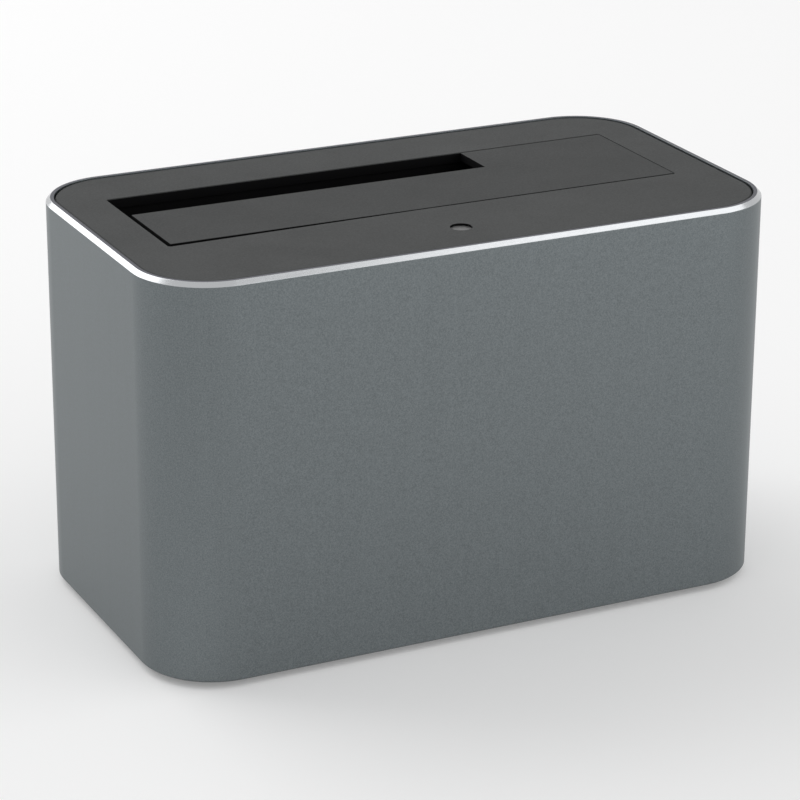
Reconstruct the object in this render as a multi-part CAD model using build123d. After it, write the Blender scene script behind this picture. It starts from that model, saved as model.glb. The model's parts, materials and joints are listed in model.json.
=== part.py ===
from build123d import *
from math import cos, pi, sin, sqrt
import os

# Hard drive docking station: an extruded sleeve on a base plate, with a slot in its top for a bare drive.
# Millimetres. X runs along the long side, Y to the back, Z up. The origin is under the middle, at the feet.

# Drives that the dock takes, and how far they go in
large_drive_width = 101.6
large_drive_thickness = 26.1
small_drive_width = 69.85
small_drive_thickness = 9.5
insertion_depth = 55.0

# Clearances of the slot and the lands round it
slot_side_clearance = 1.2
slot_depth_clearance = 3.9
slot_corner_radius = 0.6
small_slot_side_clearance = 1.675
small_slot_depth_clearance = 1.2
end_land = 10.5
front_land = 23.9
back_land = 15.1

# Sleeve
sleeve_corner_radius = 14.2
sleeve_wall = 1.5
rim_bevel = 0.8
lower_bevel = 0.4
channel_radius = 3.2
channel_bore_radius = 1.2
channel_slit = 1.2
channel_merge = 0.3

# Top panel
panel_gap = 0.25
panel_recess = 0.15
panel_thickness = 2.0
panel_edge_bevel = 0.3
skirt_height = 7.0
skirt_wall = 1.5
panel_boss_radius = 2.8
panel_boss_height = 6.0
panel_boss_end_inset = 12.0
panel_boss_side_inset = 6.6

# Sprung door in the slot
door_thickness = 1.6
door_front_gap = 0.45
door_left_gap = 0.9
door_right_gap = 0.2
door_back_gap = 0.4
door_edge_round = 0.12
door_rib_depth = 1.2
door_rib_width = 1.2
door_rib_pitch = 15.0
door_rib_inset = 3.0
door_arm_inset = 11.0
door_open_gap = 0.7
arm_reach = 10.2
stop_gap = 0.1
hinge_pin_radius = 1.0
hinge_pin_end_gap = 0.4
hinge_pin_bevel = 0.2
hinge_bore_clearance = 0.05
knuckle_radius = 2.2
knuckle_width = 5.6
knuckle_gap = 1.0

# Bearings of the door in the drive bay
bearing_width = 2.5
bearing_back_radius = 1.9
bearing_depth_below_pin = 4.0
bearing_side_gap = 0.4
keeper_side_gap = 0.1

# Door springs
wire_sides = 6
spring_wire = 0.6
spring_radius = 1.75
spring_pitch = 1.1
spring_turns = 3
door_leg_length = 8.0
wall_leg_length = 5.0
spring_end_gap = 1.0
spring_seat_width = 1.6
spring_seat_length = 4.4
spring_seat_gap = 0.05
spring_seat_inset = 0.5

# Drive bay
bay_wall = 1.8
bay_side_clearance = 0.4
bay_back_clearance = 0.5
bay_floor = 1.8
bay_port_gap = 0.7
pocket_front_clearance = 0.4
pocket_end_clearance = 2.0
pocket_slope_height = 6.0
drive_front_clearance = 1.3
drive_back_clearance = 0.6
guide_rib_width = 2.0
guide_rib_height = 0.8
guide_rib_inset = 10.0
bay_lug_radius = 4.0
bay_lug_thickness = 2.0
bay_post_radius = 3.2
bay_post_end_inset = 5.0
bay_post_side_inset = 5.6
receptacle_window_gap = 0.4

# Main board
board_thickness = 1.6
board_edge_gap = 3.2
board_back_gap = 3.4
board_corner_radius = 3.0
board_underside_gap = 1.8

# Receptacle for the drive
receptacle_offset = 14.4
receptacle_back_distance = 4.2
receptacle_length = 39.6
receptacle_thickness = 6.0
receptacle_rise = 4.9
receptacle_foot_length = 41.0
receptacle_foot_thickness = 7.2
receptacle_foot_gap = 0.9
receptacle_edge_round = 0.4
tongue_slot_depth = 5.2
tongue_slot_width = 1.5
signal_slot_length = 10.4
power_slot_length = 20.6
slot_partition = 2.6
key_depth = 1.3
key_width = 1.2
contact_pitch = 1.27
contact_width = 0.7
contact_thickness = 0.3
contact_height = 4.6
contact_tail = 1.0
signal_contacts = 7
power_contacts = 15

# USB socket
usb_width = 12.0
usb_height = 11.8
usb_length = 17.4
usb_wall = 0.4
usb_lower_width = 8.9
usb_lower_height = 6.6
usb_upper_width = 6.6
usb_upper_height = 3.0
usb_mouth_depth = 9.5
usb_opening_lift = 1.0
usb_tongue_width = 5.6
usb_tongue_height = 3.0
usb_tongue_setback = 1.2
usb_small_tongue_width = 5.0
usb_small_tongue_height = 1.1
usb_contact_pitch = 1.2
usb_contact_width = 0.6
usb_contact_thickness = 0.15
usb_contact_length = 6.0

# Power inlet
jack_width = 9.0
jack_height = 11.0
jack_length = 14.0
jack_bore_radius = 3.15
jack_bore_depth = 9.5
jack_bore_height = 6.3
jack_pin_radius = 1.0
jack_pin_setback = 0.8
jack_pin_taper = 0.5
jack_leaf_width = 2.2
jack_leaf_thickness = 0.3
jack_leaf_length = 7.0
jack_leaf_gap = 0.1

# Power switch
switch_inset = 12.0
switch_width = 8.5
switch_height = 8.5
switch_length = 7.4
switch_wall = 1.0
switch_travel = 1.8
plunger_width = 3.0
plunger_collar = 5.2
plunger_collar_thickness = 1.2
plunger_gap = 0.2
button_width = 8.0
button_height = 5.0
button_length = 4.2
button_round = 0.5
button_bevel = 0.3
button_gap = 0.25
return_spring_radius = 2.0
return_spring_wire = 0.4
return_spring_turns = 3
return_spring_end_gap = 0.05

# Rear port plate and the window that it fills
port_spacing = 2.0
port_margin = 1.0
plate_margin = 3.0
plate_top_margin = 2.2
plate_gap = 0.2
plate_recess = 0.8
plate_corner_radius = 1.2
plate_flange_width = 1.8
plate_flange_thickness = 1.6
port_gap = 0.2

# Base plate, feet and screws
foot_proud = 1.2
base_recess = 0.5
base_thickness = 2.0
base_gap = 0.25
standoff_radius = 3.6
foot_radius = 5.0
foot_sunk = 0.6
foot_gap = 0.2
foot_end_inset = 16.5
foot_side_inset = 12.5
foot_bevel = 0.5
vent_length = 18.0
vent_width = 2.0
vent_pitch = 6.0
vent_count = 5
screw_shank_radius = 1.15
screw_thread_gap = 0.05
screw_hole_radius = 1.4
screw_head_radius = 2.0
screw_head_height = 1.1
screw_head_gap = 0.2
base_screw_length = 9.0
bay_screw_length = 5.5
cross_width = 0.5
cross_length = 2.2
cross_depth = 0.6
pilot_end_wall = 0.6

# Indicator
indicator_inset = 11.5
indicator_radius = 2.0
indicator_recess = 0.4
indicator_gap = 0.05
guide_radius = 1.5
guide_collar_radius = 2.9
guide_collar_height = 1.6
guide_boss_radius = 3.6
guide_boss_height = 2.4
led_length = 2.0
led_width = 1.4
led_height = 0.9
led_gap = 0.3

# Parts on the board: sizes, and places as shares of the board's width and depth
bridge_chip_size = 9.0
bridge_chip_height = 1.0
bridge_chip_shares = (-0.035, -0.24)
memory_chip_length = 5.0
memory_chip_width = 4.0
memory_chip_height = 1.5
memory_chip_shares = (-0.157, -0.255)
regulator_length = 6.0
regulator_width = 5.0
regulator_height = 1.5
regulator_shares = [(0.174, -0.272), (0.322, -0.272)]
inductor_size = 6.6
inductor_height = 3.0
inductor_round = 0.8
inductor_shares = [(0.174, -0.119), (0.322, -0.119)]
capacitor_radius = 3.15
capacitor_height = 5.6
capacitor_base = 6.6
capacitor_base_height = 0.9
capacitor_bevel = 0.4
capacitor_shares = [(0.3, -0.4), (0.37, -0.4)]
crystal_length = 5.0
crystal_width = 3.2
crystal_height = 0.9
crystal_shares = (-0.104, -0.383)
chip_part_length = 1.6
chip_part_width = 0.8
chip_part_height = 0.7
chip_part_pitch = 3.0
chip_part_columns = 6
chip_part_rows = 3
chip_part_shares = (-0.365, -0.374)

# Helper for cuts that run past a face
overrun = 1.0

# The slot, and the sleeve round it
slot_width = large_drive_width + 2 * slot_side_clearance
slot_depth = large_drive_thickness + slot_depth_clearance
sleeve_width = slot_width + 2 * end_land
sleeve_depth = slot_depth + front_land + back_land
slot_front = -sleeve_depth / 2 + front_land
slot_back = slot_front + slot_depth
small_slot_width = small_drive_width + 2 * small_slot_side_clearance
small_slot_depth = small_drive_thickness + small_slot_depth_clearance
small_slot_right = small_slot_width - slot_width / 2
small_slot_front = slot_back - small_slot_depth
inner_width = sleeve_width - 2 * sleeve_wall
inner_depth = sleeve_depth - 2 * sleeve_wall
inner_radius = sleeve_corner_radius - sleeve_wall

# Levels, from the feet up
sleeve_bottom = foot_proud
base_bottom = sleeve_bottom + base_recess
base_top = base_bottom + base_thickness
board_bottom = base_top + board_underside_gap
board_top = board_bottom + board_thickness
bay_underside = board_top + usb_height + bay_port_gap
receptacle_foot_top = bay_underside - receptacle_foot_gap
drive_rest = bay_underside + bay_floor
panel_top = drive_rest + insertion_depth
panel_underside = panel_top - panel_thickness
skirt_bottom = panel_top - skirt_height
boss_bottom = panel_underside - panel_boss_height
sleeve_top = panel_top + panel_recess

# The door's hinge and springs
drive_front = slot_back - drive_back_clearance - large_drive_thickness
hinge_drop = panel_thickness + knuckle_gap + knuckle_radius
hinge_y = drive_front - door_open_gap - hinge_drop
hinge_z = panel_top - hinge_drop
hinge_bore_radius = hinge_pin_radius + hinge_bore_clearance
door_left = -slot_width / 2 + door_left_gap
door_right = slot_width / 2 - door_right_gap
door_front = slot_front + door_front_gap
door_back = slot_back - door_back_gap
door_underside = panel_top - door_thickness
knuckle_inner_x = slot_width / 2 - door_arm_inset
knuckle_outer_x = knuckle_inner_x + knuckle_width
outer_bearing_x = knuckle_outer_x + bearing_side_gap
spring_start_x = knuckle_inner_x - spring_wire / 2 - spring_pitch
spring_end_x = spring_start_x - spring_pitch * (spring_turns + 1 / 4)
inner_bearing_x = spring_end_x - spring_wire / 2 - spring_end_gap - bearing_width

# The drive bay
bay_half_width = slot_width / 2 + bay_side_clearance
bay_back = slot_back + bay_back_clearance
pocket_front = hinge_y - knuckle_radius - pocket_front_clearance
shaft_front = drive_front - drive_front_clearance
pocket_bottom = hinge_z - (door_back - hinge_y) - pocket_end_clearance
receptacle_y = bay_back - receptacle_back_distance

# Ports in the back
plate_face = sleeve_depth / 2 - plate_recess
jack_x = receptacle_foot_length / 2 - receptacle_offset + port_margin + jack_width / 2
usb_x = jack_x + jack_width / 2 + port_spacing + usb_width / 2
plate_width = 2 * (usb_x + usb_width / 2 + plate_margin)
plate_bottom = base_top + plate_flange_width
plate_height = board_top + usb_height + plate_top_margin - plate_bottom
plate_middle_z = plate_bottom + plate_height / 2
switch_x = -plate_width / 2 + switch_inset
switch_axis_z = board_top + switch_height / 2
button_tip = sleeve_depth / 2 - button_gap
switch_back = button_tip - button_length - switch_travel - button_gap
switch_front = switch_back - switch_length
spring_room_front = switch_front + switch_wall
collar_back = switch_back - switch_wall - plunger_gap
collar_front = collar_back - plunger_collar_thickness
jack_axis_z = board_top + jack_bore_height
usb_opening_z = board_top + usb_opening_lift

# Main board
board_width = inner_width - 2 * board_edge_gap
board_front = -inner_depth / 2 + board_edge_gap
board_back = inner_depth / 2 - board_back_gap
board_depth = board_back - board_front

# Places of posts, screws and feet
channel_distance = inner_radius - channel_radius + channel_merge
channel_x = sleeve_width / 2 - sleeve_corner_radius + channel_distance * cos(pi / 4)
channel_y = sleeve_depth / 2 - sleeve_corner_radius + channel_distance * sin(pi / 4)
post_x = slot_width / 2 - bay_post_end_inset
post_front_y = shaft_front + bay_post_side_inset
post_back_y = bay_back - bay_post_side_inset
boss_x = slot_width / 2 - panel_boss_end_inset
boss_y = inner_depth / 2 - panel_boss_side_inset
foot_x = sleeve_width / 2 - foot_end_inset
foot_y = sleeve_depth / 2 - foot_side_inset
corner_places = [(x, y) for x in (-channel_x, channel_x) for y in (-channel_y, channel_y)]
post_places = [(x, y) for x in (-post_x, post_x) for y in (post_front_y, post_back_y)]
boss_places = [(x, y) for x in (-boss_x, boss_x) for y in (-boss_y, boss_y)]
foot_places = [(x, y) for x in (-foot_x, foot_x) for y in (-foot_y, foot_y)]
indicator_place = (0, -sleeve_depth / 2 + indicator_inset)


def block(x_low, x_high, y_low, y_high, z_low, z_high):
    """Box between two opposite corners."""
    middle = Pos((x_low + x_high) / 2, (y_low + y_high) / 2, (z_low + z_high) / 2)
    return middle * Box(x_high - x_low, y_high - y_low, z_high - z_low)


def rounded_prism(width, depth, radius, z_low, z_high):
    """Upright prism with rounded corners, centred on the origin."""
    return Pos(0, 0, z_low) * extrude(RectangleRounded(width, depth, radius), z_high - z_low)


def post(place, radius, z_low, z_high):
    """Upright round post."""
    return Pos(place[0], place[1], (z_low + z_high) / 2) * Cylinder(radius, z_high - z_low)


def along_y(sketch, x, z, y_low, y_high):
    """Profile drawn as seen from the front, drawn out from y_low to y_high."""
    return Pos(x, y_high, z) * Rot(90, 0, 0) * extrude(sketch, y_high - y_low)


def along_x(sketch, x_low, x_high):
    """Profile with Y to the right and Z up, drawn out from x_low to x_high."""
    return extrude(Plane.YZ.offset(x_low) * sketch, x_high - x_low)


def edges_at_top(shape):
    """Edges round the highest flat face."""
    return shape.faces().sort_by(Axis.Z)[-1].edges()


def edges_at_bottom(shape):
    """Edges round the lowest flat face."""
    return shape.faces().sort_by(Axis.Z)[0].edges()


def biarc(start, start_direction, end, end_direction):
    """Two tangent arcs that leave start and reach end in the given directions."""
    chord = end - start
    lean = chord.dot(start_direction + end_direction)
    spread = 2 * (1 - start_direction.dot(end_direction))
    reach = (sqrt(lean ** 2 + spread * chord.dot(chord)) - lean) / spread
    first = start + start_direction * reach
    second = end - end_direction * reach
    middle = (first + second) * 0.5
    return [TangentArc(start, middle, tangent=start_direction), TangentArc(middle, end, tangent=second - first)]


def coil_point(radius, pitch, turn):
    """Place and direction on a coil round the X axis, after a number of turns."""
    angle = 2 * pi * turn
    place = Vector(pitch * turn, radius * cos(angle), radius * sin(angle))
    direction = Vector(pitch / (2 * pi), -radius * sin(angle), radius * cos(angle)).normalized()
    return place, direction


def coil_path(radius, pitch, first_turn, last_turn, share_of_turn):
    """Coil round the X axis, as biarcs that each take a share of a turn."""
    edges = []
    for index in range(round((last_turn - first_turn) / share_of_turn)):
        turn = first_turn + index * share_of_turn
        start, start_direction = coil_point(radius, pitch, turn)
        end, end_direction = coil_point(radius, pitch, turn + share_of_turn)
        edges += biarc(start, start_direction, end, end_direction)
    return edges


def least_coil_gap(radius, pitch, turns, wire):
    """Smallest clear gap between neighbouring turns, measured on points."""
    steps = 48
    points = [coil_point(radius, pitch, step / steps)[0] for step in range(steps * turns)]
    gaps = [
        (points[far] - points[near]).length - wire
        for near in range(len(points))
        for far in range(near + steps // 2, len(points))
    ]
    return min(gaps)


def swept_wire(edges, wire):
    """Faceted wire along a chain of edges."""
    path = Wire(edges)
    section = Plane(origin=path @ 0, z_dir=path % 0) * RegularPolygon(wire / 2, wire_sides)
    return sweep(section, path=path)


def screw(place, head_low, length):
    """Countersunk screw with a cross recess, upright, driven from below."""
    shank_low = head_low + screw_head_height
    shank = post(place, screw_shank_radius, shank_low, shank_low + length)
    head_middle = Pos(place[0], place[1], (head_low + shank_low) / 2)
    head = head_middle * Cone(screw_head_radius, screw_shank_radius, screw_head_height)
    long_cut = Pos(place[0], place[1], head_low) * Box(cross_length, cross_width, 2 * cross_depth)
    short_cut = Pos(place[0], place[1], head_low) * Box(cross_width, cross_length, 2 * cross_depth)
    return head + shank - long_cut - short_cut


def screw_seat(place, low):
    """Countersink that takes a screw's head, in a face that looks down."""
    depth = screw_head_height + screw_head_gap
    return Pos(place[0], place[1], low + depth / 2) * Cone(screw_head_radius + screw_head_gap, screw_hole_radius, depth)


def housing_sleeve():
    """Extruded tube with four screw channels, a bevelled rim and a window in its back."""
    outer = rounded_prism(sleeve_width, sleeve_depth, sleeve_corner_radius, sleeve_bottom, sleeve_top)
    outer = chamfer(edges_at_top(outer), rim_bevel)
    outer = chamfer(edges_at_bottom(outer), lower_bevel)
    low, high = sleeve_bottom - overrun, sleeve_top + overrun
    shell = outer - rounded_prism(inner_width, inner_depth, inner_radius, low, high)
    for place in corner_places:
        channel = post(place, channel_radius, base_top, skirt_bottom)
        channel -= post(place, channel_bore_radius, base_top - overrun, skirt_bottom + overrun)
        slit_centre = Pos(place[0], place[1], (base_top + skirt_bottom) / 2)
        slit_turn = 45 if place[0] * place[1] > 0 else -45
        side = -1 if place[0] > 0 else 1
        slit_reach = channel_radius + overrun
        slit = Pos(side * slit_reach / 2, 0, 0) * Box(slit_reach, channel_slit, skirt_bottom - base_top)
        shell += channel - slit_centre * Rot(0, 0, slit_turn) * slit
    window = RectangleRounded(plate_width, plate_height, plate_corner_radius)
    back = sleeve_depth / 2 + overrun
    return shell - along_y(window, 0, plate_middle_z, inner_depth / 2 - overrun, back)


def slot_prism(z_low, z_high):
    """Space of the drive slot in the top panel."""
    middle_y = (slot_front + slot_back) / 2
    outline = RectangleRounded(slot_width, slot_depth, slot_corner_radius)
    return Pos(0, middle_y, z_low) * extrude(outline, z_high - z_low)


def bearing_spans():
    """Where the hinge bearings stand along X, as low and high ends."""
    right = [
        (inner_bearing_x, inner_bearing_x + bearing_width),
        (outer_bearing_x, outer_bearing_x + bearing_width),
    ]
    return right + [(-high, -low) for low, high in right]


def top_panel():
    """Moulded panel with a skirt, the drive slot, screw bosses and keepers over the hinge pin."""
    width = inner_width - 2 * panel_gap
    depth = inner_depth - 2 * panel_gap
    radius = inner_radius - panel_gap
    plate = rounded_prism(width, depth, radius, panel_underside, panel_top)
    plate = chamfer(edges_at_top(plate), panel_edge_bevel)
    skirt = rounded_prism(width, depth, radius, skirt_bottom, panel_underside)
    skirt -= rounded_prism(
        width - 2 * skirt_wall, depth - 2 * skirt_wall, radius - skirt_wall, skirt_bottom - overrun, panel_top
    )
    panel = plate + skirt
    panel -= slot_prism(panel_underside - overrun, panel_top + overrun)
    for place in boss_places:
        panel += post(place, panel_boss_radius, boss_bottom, panel_underside)
        pilot_radius = screw_shank_radius + screw_thread_gap
        panel -= post(place, pilot_radius, boss_bottom - overrun, panel_underside - pilot_end_wall)
    panel += post(indicator_place, guide_boss_radius, panel_underside - guide_boss_height, panel_underside)
    window = indicator_radius + indicator_gap
    collar_room = guide_collar_radius + indicator_gap
    collar_top = panel_underside - guide_boss_height + guide_collar_height
    panel -= post(indicator_place, window, skirt_bottom, panel_top + overrun)
    panel -= post(indicator_place, collar_room, skirt_bottom, collar_top)
    for low, high in bearing_spans():
        half = hinge_bore_radius - keeper_side_gap
        keeper_bottom = hinge_z + hinge_bore_radius
        panel += block(low, high, hinge_y - half, hinge_y + half, keeper_bottom, panel_underside)
    return panel


def door_outline():
    """Outline of the door seen from above: it leaves the small slot open at its back left."""
    return Polyline(
        (door_left, door_front),
        (door_right, door_front),
        (door_right, door_back),
        (small_slot_right, door_back),
        (small_slot_right, small_slot_front),
        (door_left, small_slot_front),
        close=True,
    )


def hinge_arm(x_low):
    """Arm that carries the door on the pin; its top meets the panel when the door is shut."""
    stop_z = panel_underside - stop_gap
    arm_end = hinge_y + arm_reach
    outline = Polyline(
        (hinge_y, hinge_z - knuckle_radius),
        (arm_end, door_underside - door_rib_depth),
        (arm_end, door_underside),
        (door_front, door_underside),
        (door_front, stop_z),
        (hinge_y, stop_z),
        close=True,
    )
    axis = Pos(hinge_y, hinge_z)
    face = make_face(outline) + axis * Circle(knuckle_radius) - axis * Circle(hinge_bore_radius)
    return along_x(face, x_low, x_low + knuckle_width)


def slot_door():
    """L-shaped door with stiffening ribs, two hinge arms and a seat for each spring leg."""
    door = Pos(0, 0, door_underside) * extrude(make_face(door_outline()), door_thickness)
    door = fillet(edges_at_top(door), door_edge_round)
    rib_bottom = door_underside - door_rib_depth
    rib_front = hinge_y + arm_reach
    rib_count = int((knuckle_inner_x - door_rib_width) // door_rib_pitch)
    for index in range(-rib_count, rib_count + 1):
        x = index * door_rib_pitch
        back = door_back if x > small_slot_right + door_rib_width else small_slot_front
        rib_back = back - door_rib_inset
        half = door_rib_width / 2
        door += block(x - half, x + half, rib_front, rib_back, rib_bottom, door_underside)
    cross_left = door_left + door_rib_inset
    cross_right = door_right - door_rib_inset
    cross_y = small_slot_front - door_rib_inset
    door += block(cross_left, cross_right, cross_y - door_rib_width, cross_y, rib_bottom, door_underside)
    for side in (-1, 1):
        low = knuckle_inner_x if side > 0 else -knuckle_outer_x
        door += hinge_arm(low)
        middle = side * (knuckle_inner_x - spring_seat_width / 2)
        half = spring_seat_width / 2
        front = hinge_y + door_leg_length - spring_seat_length - spring_seat_inset
        low = hinge_z + spring_radius + spring_wire / 2 + spring_seat_gap
        door += block(middle - half, middle + half, front, front + spring_seat_length, low, door_underside)
    return door


def door_hinge_pin():
    """Steel pin that lies in the open bearings of the drive bay."""
    half = bay_half_width - hinge_pin_end_gap
    pin = Pos(0, hinge_y, hinge_z) * Rot(0, 90, 0) * Cylinder(hinge_pin_radius, 2 * half)
    return chamfer(pin.edges().filter_by(GeomType.CIRCLE), hinge_pin_bevel)


def door_spring(side):
    """Torsion spring on the pin: one leg lies on the bay's front wall, the other under the door."""
    first_turn = 1 / 4
    last_turn = spring_turns + 1 / 2
    pitch = -side * spring_pitch
    start, start_direction = coil_point(spring_radius, pitch, first_turn)
    end, end_direction = coil_point(spring_radius, pitch, last_turn)
    door_leg = Line(start - start_direction * door_leg_length, start)
    wall_leg = Line(end, end + end_direction * wall_leg_length)
    coil = coil_path(spring_radius, pitch, first_turn, last_turn, 1 / 4)
    wire = swept_wire([door_leg] + coil + [wall_leg], spring_wire)
    return Pos(side * spring_start_x, hinge_y, hinge_z) * wire


def bay_outline(offset):
    """Section of the drive bay across its length, grown outwards by the offset."""
    slope_run = shaft_front - pocket_front
    slope_length = sqrt(slope_run ** 2 + pocket_slope_height ** 2)
    lower_shift = offset * (slope_length - slope_run) / pocket_slope_height
    return Polyline(
        (shaft_front - offset, drive_rest - offset),
        (bay_back + offset, drive_rest - offset),
        (bay_back + offset, panel_underside),
        (pocket_front - offset, panel_underside),
        (pocket_front - offset, pocket_bottom - lower_shift),
        (shaft_front - offset, pocket_bottom - pocket_slope_height - lower_shift),
        close=True,
    )


def guide_ribs():
    """Upright ribs that guide the drive: its edges below the door's swing, and its back."""
    top = panel_underside - guide_rib_inset
    low = drive_rest
    ribs = []
    for side in (-1, 1):
        wall = side * bay_half_width
        inner = wall - side * (bay_side_clearance + guide_rib_height)
        for y in (shaft_front + guide_rib_inset, bay_back - guide_rib_inset):
            ribs.append(block(min(wall, inner), max(wall, inner), y, y + guide_rib_width, low, pocket_bottom))
        back_x = side * (bay_half_width - guide_rib_inset)
        back_face = bay_back - bay_back_clearance
        ribs.append(block(back_x, back_x + guide_rib_width, back_face, bay_back, low, top))
    return ribs


def hinge_bearings():
    """Bearings open at the top, one pair each side of a door arm."""
    bearings = []
    back = hinge_y + bearing_back_radius
    low_z = hinge_z - bearing_depth_below_pin
    for low, high in bearing_spans():
        bearing = block(low, high, pocket_front, back, low_z, panel_underside)
        saddle = block(low, high, hinge_y - hinge_bore_radius, hinge_y + hinge_bore_radius, hinge_z, panel_top)
        bearing -= saddle
        bore = Pos((low + high) / 2, hinge_y, hinge_z) * Rot(0, 90, 0) * Cylinder(hinge_bore_radius, high - low)
        bearings.append(bearing - bore)
    return bearings


def drive_bay():
    """Moulded shaft for the drive, with the door's pocket, hinge bearings, screw lugs and board posts."""
    outer = along_x(make_face(bay_outline(bay_wall)), -bay_half_width - bay_wall, bay_half_width + bay_wall)
    inner = along_x(make_face(bay_outline(0)), -bay_half_width, bay_half_width)
    bay = outer - inner
    bay -= block(
        -bay_half_width, bay_half_width, pocket_front, bay_back, panel_underside - overrun, panel_underside + overrun
    )
    for rib in guide_ribs():
        bay += rib
    for bearing in hinge_bearings():
        bay += bearing
    for place in boss_places:
        wall_y = pocket_front - bay_wall if place[1] < 0 else bay_back + bay_wall
        low_y, high_y = min(place[1], wall_y), max(place[1], wall_y)
        lug_low = boss_bottom - bay_lug_thickness
        bay += post(place, bay_lug_radius, lug_low, boss_bottom)
        bay += block(place[0] - bay_lug_radius, place[0] + bay_lug_radius, low_y, high_y, lug_low, boss_bottom)
        bay -= post(place, screw_hole_radius, lug_low - overrun, boss_bottom + overrun)
        bay -= screw_seat(place, lug_low)
    for place in post_places:
        bay += post(place, bay_post_radius, board_top, bay_underside)
        pilot_radius = screw_shank_radius + screw_thread_gap
        bay -= post(place, pilot_radius, board_top - overrun, bay_underside - pilot_end_wall)
    window_x = receptacle_length / 2 + receptacle_window_gap
    window_y = receptacle_thickness / 2 + receptacle_window_gap
    bay -= block(
        -receptacle_offset - window_x,
        -receptacle_offset + window_x,
        receptacle_y - window_y,
        receptacle_y + window_y,
        bay_underside - overrun,
        drive_rest + overrun,
    )
    return bay


def main_board():
    """Circuit board clamped between the base plate and the posts of the bay."""
    outline = RectangleRounded(board_width, board_depth, board_corner_radius)
    board = Pos(0, (board_front + board_back) / 2, board_bottom) * extrude(outline, board_thickness)
    for place in post_places:
        board -= post(place, screw_hole_radius, board_bottom - overrun, board_top + overrun)
    for place in corner_places:
        board -= post(place, channel_radius + board_edge_gap, board_bottom - overrun, board_top + overrun)
    return board


def receptacle_slots():
    """Start and length along X of the signal slot and the power slot, from the receptacle's left end."""
    total = signal_slot_length + slot_partition + power_slot_length
    left = -receptacle_offset - total / 2
    return [(left, signal_slot_length), (left + signal_slot_length + slot_partition, power_slot_length)]


def sata_receptacle():
    """Upright receptacle with a keyed slot for signals and a longer one for power."""
    top = drive_rest + receptacle_rise
    body = Box(receptacle_length, receptacle_thickness, top - receptacle_foot_top)
    body = Pos(-receptacle_offset, receptacle_y, (top + receptacle_foot_top) / 2) * body
    body = chamfer(edges_at_top(body), receptacle_edge_round)
    foot = Box(receptacle_foot_length, receptacle_foot_thickness, receptacle_foot_top - board_top)
    body += Pos(-receptacle_offset, receptacle_y, (receptacle_foot_top + board_top) / 2) * foot
    slot_low = receptacle_y - tongue_slot_width / 2
    slot_high = receptacle_y + tongue_slot_width / 2
    slot_bottom = top - tongue_slot_depth
    for start, length in receptacle_slots():
        body -= block(start, start + length, slot_low, slot_high, slot_bottom, top + overrun)
        key_end = start + length
        body -= block(key_end - key_width, key_end, slot_low - key_depth, slot_high, slot_bottom, top + overrun)
    return body


def sata_contacts():
    """Spring contacts on the back wall of both slots, and their tails on the board."""
    top = drive_rest + receptacle_rise
    wall = receptacle_y + tongue_slot_width / 2
    tail_front = receptacle_y + receptacle_foot_thickness / 2
    contacts = []
    counts = (signal_contacts, power_contacts)
    for (start, length), count in zip(receptacle_slots(), counts):
        first = start + (length - (count - 1) * contact_pitch) / 2
        for index in range(count):
            x = first + index * contact_pitch
            low, high = x - contact_width / 2, x + contact_width / 2
            blade_bottom = top - tongue_slot_depth
            contacts.append(
                block(low, high, wall - contact_thickness, wall, blade_bottom, blade_bottom + contact_height)
            )
            contacts.append(
                block(low, high, tail_front, tail_front + contact_tail, board_top, board_top + contact_thickness)
            )
    return Compound(children=contacts)


def usb_mouth():
    """Stepped outline of the USB opening, centred along X, with its lower edge at zero."""
    lower = Pos(0, usb_lower_height / 2) * Rectangle(usb_lower_width, usb_lower_height)
    upper_height = usb_lower_height + usb_upper_height
    upper = Pos(0, upper_height / 2) * Rectangle(usb_upper_width, upper_height)
    return lower + upper


def tongue_levels():
    """Lowest levels of the thick tongue and of the thin one above it."""
    thick = usb_opening_z + (usb_lower_height - usb_tongue_height) / 2
    thin = usb_opening_z + usb_lower_height + (usb_upper_height - usb_small_tongue_height) / 2
    return thick, thin


def usb_shell():
    """Sheet-metal shell of the USB socket with its stepped mouth."""
    half = usb_width / 2
    back = plate_face
    front = back - usb_length
    shell = block(usb_x - half, usb_x + half, front, back, board_top, board_top + usb_height)
    cavity_low = board_top + usb_wall
    cavity_high = board_top + usb_height - usb_wall
    inside = half - usb_wall
    shell -= block(usb_x - inside, usb_x + inside, front - overrun, back - usb_wall, cavity_low, cavity_high)
    return shell - along_y(usb_mouth(), usb_x, usb_opening_z, back - usb_mouth_depth, back + overrun)


def usb_insulator():
    """Moulding inside the shell, with the thick tongue below and the thin one above."""
    inside = usb_width / 2 - usb_wall
    back = plate_face - usb_wall
    front = plate_face - usb_length
    low = board_top + usb_wall
    high = board_top + usb_height - usb_wall
    moulding = block(usb_x - inside, usb_x + inside, front, back, low, high)
    floor_y = plate_face - usb_mouth_depth
    moulding -= along_y(usb_mouth(), usb_x, usb_opening_z, floor_y, back + overrun)
    tongue_back = plate_face - usb_tongue_setback
    thick_low, thin_low = tongue_levels()
    half = usb_tongue_width / 2
    moulding += block(usb_x - half, usb_x + half, floor_y, tongue_back, thick_low, thick_low + usb_tongue_height)
    half = usb_small_tongue_width / 2
    return moulding + block(
        usb_x - half, usb_x + half, floor_y, tongue_back, thin_low, thin_low + usb_small_tongue_height
    )


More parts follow.
